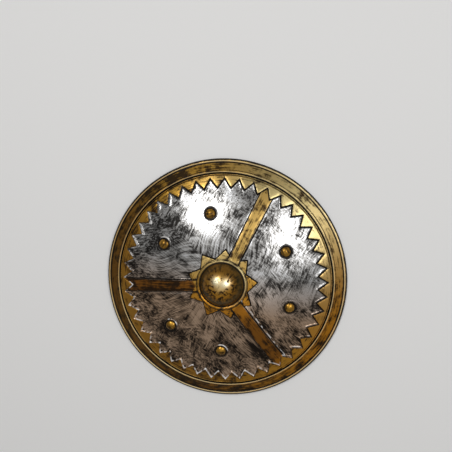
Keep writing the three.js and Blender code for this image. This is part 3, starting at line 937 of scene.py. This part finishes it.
def build_push_rivet(name, angle, material):
    """A push rivet's domed head, with a shank that goes up through the strap."""
    top = STRAP_BOTTOM - CLEARANCE
    bottom = top - HEAD_THICKNESS
    profile = []
    steps = 8
    for i in range(1, steps + 1):
        turn = math.pi / 2 * i / steps
        height = (HEAD_THICKNESS - HEAD_DOME_INSET) * (1 - math.cos(turn))
        profile.append((HEAD_RADIUS * math.sin(turn) ** HEAD_FULLNESS, bottom + height))
    profile += [
        (HEAD_RADIUS, top - HEAD_EDGE), (HEAD_RADIUS - HEAD_EDGE, top), (SHANK_RADIUS, top),
        (SHANK_RADIUS, SEAT_HEIGHT),
    ]
    count = SEAT_SEGMENTS
    places = np.concatenate([[(0, 0, bottom)], *rings(profile, count), [(0, 0, SEAT_HEIGHT)]])
    faces = [(0, 1 + (k + 1) % count, 1 + k) for k in range(count)]
    for row in range(len(profile) - 1):
        for k in range(count):
            a = 1 + row * count + k
            b = 1 + row * count + (k + 1) % count
            faces.append((a, b, b + count, a + count))
    last = 1 + (len(profile) - 1) * count
    faces += [(last + k, last + (k + 1) % count, len(places) - 1) for k in range(count)]
    return new_object(name, places + (*rivet_centre(angle), 0), faces, material)


# Colours, and the height of fine bumps in metres
BLACK_BASE = (0.02, 0.018, 0.016)
SILVER_DULL = (0.4, 0.39, 0.375)
SILVER_BRIGHT = (0.68, 0.68, 0.685)
# Colour of the painted warm reflection on the lower silver
WARM_REFLECTION_TINT = (1.0, 0.7, 0.48)
GOLD_DEEP = (0.32, 0.12, 0.014)
GOLD_MIDDLE = (0.6, 0.33, 0.045)
GOLD_PALE = (0.76, 0.62, 0.29)
GOLD_ORANGE = (0.74, 0.29, 0.014)
# Painted highlight on the boss
GOLD_PAINTED_HIGHLIGHT = (0.9, 0.84, 0.58)
PATINA = (0.035, 0.017, 0.006)
# Painted shade on the gold
SHADED_GOLD = (0.05, 0.038, 0.009)
GROOVE_BLACK = (0.014, 0.010, 0.007)
# Worn edges with painted highlights, and painted highlights in the silver
WEAR_HIGHLIGHT_DEEP = (0.5, 0.3, 0.09)
WEAR_HIGHLIGHT_PALE = (0.85, 0.68, 0.36)
SILVER_HIGHLIGHT = (0.72, 0.7, 0.68)
BACK_PLASTIC = (0.016, 0.0155, 0.015)
STRAP_PLASTIC = (0.012, 0.0115, 0.011)
RIVET_PLASTIC = (0.02, 0.018, 0.016)
FLOOR_COLOUR = (0.92, 0.915, 0.905, 1.0)
WORLD_COLOUR = (0.3, 0.298, 0.295, 1.0)
BUMP_HEIGHT = 0.0003


class Paint:
    """A material's node tree, written one node at a time. Coordinates are in millimetres."""

    def __init__(self, name):
        self.material = bpy.data.materials.new(name)
        self.material.use_nodes = True
        self.tree = self.material.node_tree
        self.tree.nodes.clear()
        where = self.node("ShaderNodeTexCoord").outputs["Object"]
        self.where = self.vector("SCALE", where, scale=1 / MM)

    def node(self, kind, inputs=None, **settings):
        node = self.tree.nodes.new(kind)
        for key, value in settings.items():
            setattr(node, key, value)
        for key, value in (inputs or {}).items():
            self.plug(value, node.inputs[key])
        return node

    def plug(self, value, socket):
        if isinstance(value, bpy.types.NodeSocket):
            self.tree.links.new(value, socket)
        else:
            socket.default_value = value

    def vector(self, operation, a, b=(0, 0, 0), scale=1.0):
        node = self.node("ShaderNodeVectorMath", operation=operation)
        self.plug(a, node.inputs[0])
        if operation == "SCALE":
            node.inputs["Scale"].default_value = scale
        else:
            self.plug(b, node.inputs[1])
        return node.outputs[0]

    def math(self, operation, a, b=0.0):
        return self.node("ShaderNodeMath", {0: a, 1: b}, operation=operation).outputs[0]

    def total(self, first, *others):
        for other in others:
            first = self.math("ADD", first, other)
        return first

    def times(self, a, b):
        return self.math("MULTIPLY", a, b)

    def swing(self, noise, amount, middle=0.5):
        """A noise's swing to both sides of its middle value."""
        return self.times(self.total(noise, -middle), amount)

    def shifted(self, x=0.0, y=0.0, z=0.0):
        """The same places moved, so that a noise there is unlike the others."""
        return self.vector("ADD", self.where, (x, y, z))

    def spread(self, value, low, high, out_low=0.0, out_high=1.0):
        inputs = {"Value": value, "From Min": low, "From Max": high, "To Min": out_low, "To Max": out_high}
        return self.node("ShaderNodeMapRange", inputs, interpolation_type="SMOOTHSTEP").outputs[0]

    def blend(self, share, a, b, blend_type="MIX"):
        node = self.node("ShaderNodeMix", data_type="RGBA", blend_type=blend_type)
        self.plug(share, node.inputs[0])
        for socket, colour in ((node.inputs[6], a), (node.inputs[7], b)):
            self.plug(colour if isinstance(colour, bpy.types.NodeSocket) else (*colour, 1.0), socket)
        return node.outputs[2]

    def between(self, share, a, b):
        node = self.node("ShaderNodeMix", data_type="FLOAT")
        for socket, value in ((node.inputs[0], share), (node.inputs[2], a), (node.inputs[3], b)):
            self.plug(value, socket)
        return node.outputs[0]

    def noise(self, where, size, detail=2.0, roughness=0.5):
        inputs = {"Vector": where, "Scale": 1 / size, "Detail": detail, "Roughness": roughness}
        return self.node("ShaderNodeTexNoise", inputs).outputs["Fac"]

    def warped(self, where, size, amount):
        inputs = {"Vector": where, "Scale": 1 / size, "Detail": 1.0}
        colour = self.node("ShaderNodeTexNoise", inputs).outputs["Color"]
        shift = self.vector("SUBTRACT", colour, (0.5, 0.5, 0.5))
        return self.vector("ADD", where, self.vector("SCALE", shift, scale=amount))

    def strokes(self, where, angle_deg, length, width, shift=0.0, detail=3.0):
        """Brush strokes of one direction: noise drawn out along it."""
        inputs = {
            "Vector": where, "Rotation": (0, 0, math.radians(angle_deg)), "Scale": (length, width, width),
            "Location": (shift, shift, shift),
        }
        drawn = self.node("ShaderNodeMapping", inputs, vector_type="TEXTURE").outputs[0]
        return self.noise(drawn, 1.0, detail, 0.55)

    def attribute(self, name, vector=False):
        node = self.node("ShaderNodeAttribute", attribute_name=name)
        return node.outputs["Vector" if vector else "Fac"]

    def finish(self, base, metallic, roughness, bump=None, strength=0.3, **fixed):
        inputs = {"Base Color": base, "Metallic": metallic, "Roughness": roughness}
        if bump is not None:
            relief = {"Height": bump, "Strength": strength, "Distance": BUMP_HEIGHT}
            inputs["Normal"] = self.node("ShaderNodeBump", relief).outputs[0]
        shader = self.node("ShaderNodeBsdfPrincipled", inputs)
        for key, value in fixed.items():
            shader.inputs[key].default_value = value
        self.node("ShaderNodeOutputMaterial", {"Surface": shader.outputs[0]})
        return self.material


def silver_paint(p):
    """Silver, dry-brushed over black along the bands and round the domes: its colour, level and strokes."""
    bent = p.warped(p.warped(p.where, 110.0, 46.0), 12.0, 1.2)
    along_upper = p.strokes(bent, 62, 60, 3.0, detail=5.0)
    along_lower = p.strokes(bent, -55, 60, 3.0, 40, detail=5.0)
    along_left = p.strokes(bent, 6, 56, 3.0, 90, detail=5.0)
    wobble = p.swing(p.noise(p.where, 24.0, 1.0), 1.6)
    lower_share = p.spread(p.total(p.attribute("way_lower"), wobble), 0.42, 0.62)
    left_share = p.spread(p.total(p.attribute("way_left"), wobble), 0.42, 0.62)
    drawn = p.between(left_share, p.between(lower_share, along_upper, along_lower), along_left)
    around = p.vector("MULTIPLY", p.attribute("swirl", vector=True), (2.6, 2.6, 0.42))
    ringed = p.noise(p.warped(around, 2.0, 0.6), 1.0, 3.0, 0.55)
    drawn = p.between(p.spread(p.attribute("near"), 0.3, 0.85, 0.0, 0.85), drawn, ringed)
    cloud = p.noise(p.warped(p.shifted(y=500), 34.0, 22.0), 30.0, 2.0, 0.45)
    crossing = p.strokes(bent, -40, 46, 1.9, 200)
    level = p.total(
        p.swing(drawn, 2.3), p.swing(cloud, 1.7), p.swing(crossing, 1.2), 0.5, p.attribute("cover_and_painted_light"))
    silver = p.blend(p.spread(level, 0.05, 0.72), BLACK_BASE, SILVER_DULL)
    silver = p.blend(p.spread(level, 0.5, 0.98), silver, SILVER_BRIGHT)
    # Painted reflection: warmer towards the bottom
    tinted = p.blend(1.0, silver, WARM_REFLECTION_TINT, blend_type="MULTIPLY")
    return p.blend(p.attribute("painted_warm_reflection"), silver, tinted), level, drawn


def gold_paint(p, tone, fleck):
    """Gold, laid on the raised tops, with brown patina, fine scratches, painted highlights and painted shade:
    its colour, soil (with painted shade in it) and patina.
    """
    streak = p.noise(p.attribute("turning", vector=True), 1.0, 3.0, 0.6)
    patina = p.noise(p.warped(p.where, 24.0, 10.0), 15.0, 3.0, 0.55)
    blotch = p.noise(p.shifted(x=900), 34.0, 2.0, 0.5)
    speck = p.noise(p.shifted(z=300), 6.0, 2.0, 0.55)
    gold = p.blend(p.spread(tone, 0.0, 0.45), GOLD_DEEP, GOLD_MIDDLE)
    gold = p.blend(p.spread(tone, 0.4, 1.0), gold, GOLD_PALE)
    gold = p.blend(p.times(p.attribute("orange"), 0.9), gold, GOLD_ORANGE)
    # Painted highlights on the boss
    gold = p.blend(p.attribute("pale"), gold, GOLD_PAINTED_HIGHLIGHT)
    soil_and_painted_shade = p.total(
        p.attribute("stain"), p.swing(patina, 2.1), p.swing(streak, 2.2), p.swing(fleck, 0.4),
        p.swing(blotch, 1.2), p.times(p.attribute("grit"), p.swing(speck, 5.0, 0.56)))
    gold = p.blend(p.spread(soil_and_painted_shade, 0.12, 0.95), gold, PATINA)
    # Painted shade on the gold
    return p.blend(p.attribute("shade"), gold, SHADED_GOLD), soil_and_painted_shade, patina


def painted_material():
    p = Paint("painted_relief")
    tone = p.attribute("tone")
    fleck = p.noise(p.shifted(z=700), 2.2, 2.0, 0.6)
    silver, level, drawn = silver_paint(p)
    gold, soil_and_painted_shade, patina = gold_paint(p, tone, fleck)
    gold_share = p.spread(p.attribute("gold"), 0.3, 0.7)
    colour = p.blend(gold_share, silver, gold)

    # Grooves rubbed dark, with painted shade, worn beads with painted highlights, and painted highlight lines
    # in the silver
    groove_and_shade_share = p.spread(p.total(p.attribute("dark"), p.swing(fleck, 0.7)), 0.3, 0.75)
    colour = p.blend(groove_and_shade_share, colour, GROOVE_BLACK)
    wear_and_highlight_share = p.spread(p.total(p.attribute("wear_and_highlight"), p.swing(fleck, 0.5)), 0.3, 0.9)
    colour = p.blend(wear_and_highlight_share, colour, p.blend(p.spread(tone, 0.0, 0.9), WEAR_HIGHLIGHT_DEEP, WEAR_HIGHLIGHT_PALE))
    # Painted highlight lines in the silver, broken by noise
    patchy = p.spread(p.noise(p.shifted(y=200), 9.0, 1.0), 0.34, 0.6, 0.25, 1.2)
    line = p.total(p.times(p.attribute("painted_highlight_line"), patchy), p.swing(fleck, 0.5))
    shine = p.spread(line, 0.35, 0.95)
    colour = p.blend(shine, colour, SILVER_HIGHLIGHT)

    metallic = p.between(p.math("MAXIMUM", shine, wear_and_highlight_share), 1.0, 0.2)
    silver_roughness = p.spread(level, 0.1, 0.8, 0.36, 0.25)
    gold_roughness = p.spread(soil_and_painted_shade, 0.1, 0.7, 0.3, 0.4)
    roughness = p.between(groove_and_shade_share, p.between(gold_share, silver_roughness, gold_roughness), 0.5)
    bump = p.between(gold_share, drawn, p.total(patina, p.times(fleck, 0.5)))
    return p.finish(colour, metallic, roughness, bump, **{"Coat Weight": 0.2, "Coat Roughness": 0.28})


def plastic_material(name, colour, grain, roughness):
    p = Paint(name)
    grit = p.noise(p.where, grain, 2.0, 0.6)
    smear = p.noise(p.where, 18.0, 3.0, 0.6)
    pale = tuple(min(1.0, c * 1.9 + 0.004) for c in colour)
    base = p.blend(p.spread(smear, 0.4, 0.7), colour, pale)
    rough = p.spread(smear, 0.3, 0.7, roughness - 0.06, roughness + 0.08)
    return p.finish(base, 0.0, rough, grit, 0.35)


painted = painted_material()
bare = plastic_material("bare_back", BACK_PLASTIC, 1.6, 0.5)
strap_plastic = plastic_material("strap_plastic", STRAP_PLASTIC, 0.9, 0.6)
rivet_plastic = plastic_material("rivet_plastic", RIVET_PLASTIC, 2.5, 0.4)

shell = build_shell(painted, bare)
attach(shell, "root")
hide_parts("shell")

for name, node, width, run, angle in (
    ("hand_grip_loft", "hand_grip", GRIP_WIDTH, GRIP_RAMP_RUN, GRIP_ANGLE),
    ("forearm_strap_loft", "forearm_strap", FOREARM_WIDTH, FOREARM_RAMP_RUN, FOREARM_ANGLE),
):
    strap = build_strap(name, width, run, angle, strap_plastic)
    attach(strap, "root")
    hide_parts(node)

RIVET_NODES = ["grip_rivet_left", "grip_rivet_right", "forearm_rivet_left", "forearm_rivet_right"]
for node, angle in zip(RIVET_NODES, SEAT_ANGLES):
    rivet = build_push_rivet(node + "_head", angle, rivet_plastic)
    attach(rivet, "root")
    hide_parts(node)

# Floor
FLOOR_HALF = 30000.0
floor_corners = np.array([(-1, -1, 0), (1, -1, 0), (1, 1, 0), (-1, 1, 0)]) * FLOOR_HALF
floor_material = Paint("floor").finish(FLOOR_COLOUR, 0.0, 0.8)
floor = new_object("floor", floor_corners, [(0, 1, 2, 3)], floor_material, smooth=False)

# Camera, with its distance in rim radii. The pattern is turned on the photographed shield, so the camera and
# the lights are turned the other way here
PATTERN_TURN = Matrix.Rotation(math.radians(-3.94), 3, "Z")
IMAGE_SIZE = 452
CAMERA_TILT = math.radians(13.67)
CAMERA_AZIMUTH = math.radians(52.42)
CAMERA_ROLL = math.radians(-0.35)
CAMERA_DISTANCE = 13.35
CAMERA_LIFT = 4.0
PIXELS_PER_RADIUS = 120.92
CENTRE_PIXEL = (226.28, 278.14)
SENSOR_WIDTH = 36.0


def add_camera():
    level = math.sin(CAMERA_TILT)
    toward_camera = Vector((
        level * math.cos(CAMERA_AZIMUTH), level * math.sin(CAMERA_AZIMUTH), math.cos(CAMERA_TILT)))
    right = Vector((0, 1, 0)).cross(toward_camera).normalized()
    up = toward_camera.cross(right)
    turned_right = math.cos(CAMERA_ROLL) * right + math.sin(CAMERA_ROLL) * up
    turned_up = -math.sin(CAMERA_ROLL) * right + math.cos(CAMERA_ROLL) * up
    offset_x = (CENTRE_PIXEL[0] - IMAGE_SIZE / 2) / PIXELS_PER_RADIUS
    offset_y = -(CENTRE_PIXEL[1] - IMAGE_SIZE / 2) / PIXELS_PER_RADIUS
    place = CAMERA_DISTANCE * toward_camera - offset_x * turned_right - offset_y * turned_up
    place = RIM_RADIUS * MM * place + Vector((0, 0, CAMERA_LIFT * MM))
    data = bpy.data.cameras.new("camera")
    data.sensor_width = SENSOR_WIDTH
    data.lens = SENSOR_WIDTH * PIXELS_PER_RADIUS * CAMERA_DISTANCE / IMAGE_SIZE
    data.clip_start = 0.05
    data.clip_end = 200.0
    camera = bpy.data.objects.new("camera", data)
    bpy.context.scene.collection.objects.link(camera)
    axes = PATTERN_TURN @ Matrix((turned_right, turned_up, toward_camera)).transposed()
    camera.matrix_world = Matrix.Translation(PATTERN_TURN @ place) @ axes.to_4x4()
    bpy.context.scene.camera = camera


add_camera()

# Lights: name, direction, width in metres and power in watts
LIGHT_DISTANCE = 2.6
LIGHTS = [
    ("left_box", (-0.3, 0.465, 0.833), 0.9, 14.0),
    ("right_box", (0.507, 0.232, 0.83), 1.5, 14.0),
    ("top_box", (0.0, 0.0, 1.0), 2.6, 5.5),
]
for name, direction, width, power in LIGHTS:
    light_data = bpy.data.lights.new(name, "AREA")
    light_data.shape = "DISK"
    light_data.size = width
    light_data.energy = power
    light = bpy.data.objects.new(name, light_data)
    away = PATTERN_TURN @ Vector(direction).normalized()
    facing = away.to_track_quat("Z", "Y").to_matrix().to_4x4()
    light.matrix_world = Matrix.Translation(away * LIGHT_DISTANCE) @ facing
    light.visible_camera = False
    bpy.context.scene.collection.objects.link(light)

world = bpy.data.worlds.new("studio")
bpy.context.scene.world = world
world.use_nodes = True
background = world.node_tree.nodes["Background"]
background.inputs["Color"].default_value = WORLD_COLOUR
background.inputs["Strength"].default_value = 1.0
bpy.context.scene.view_settings.view_transform = "Standard"
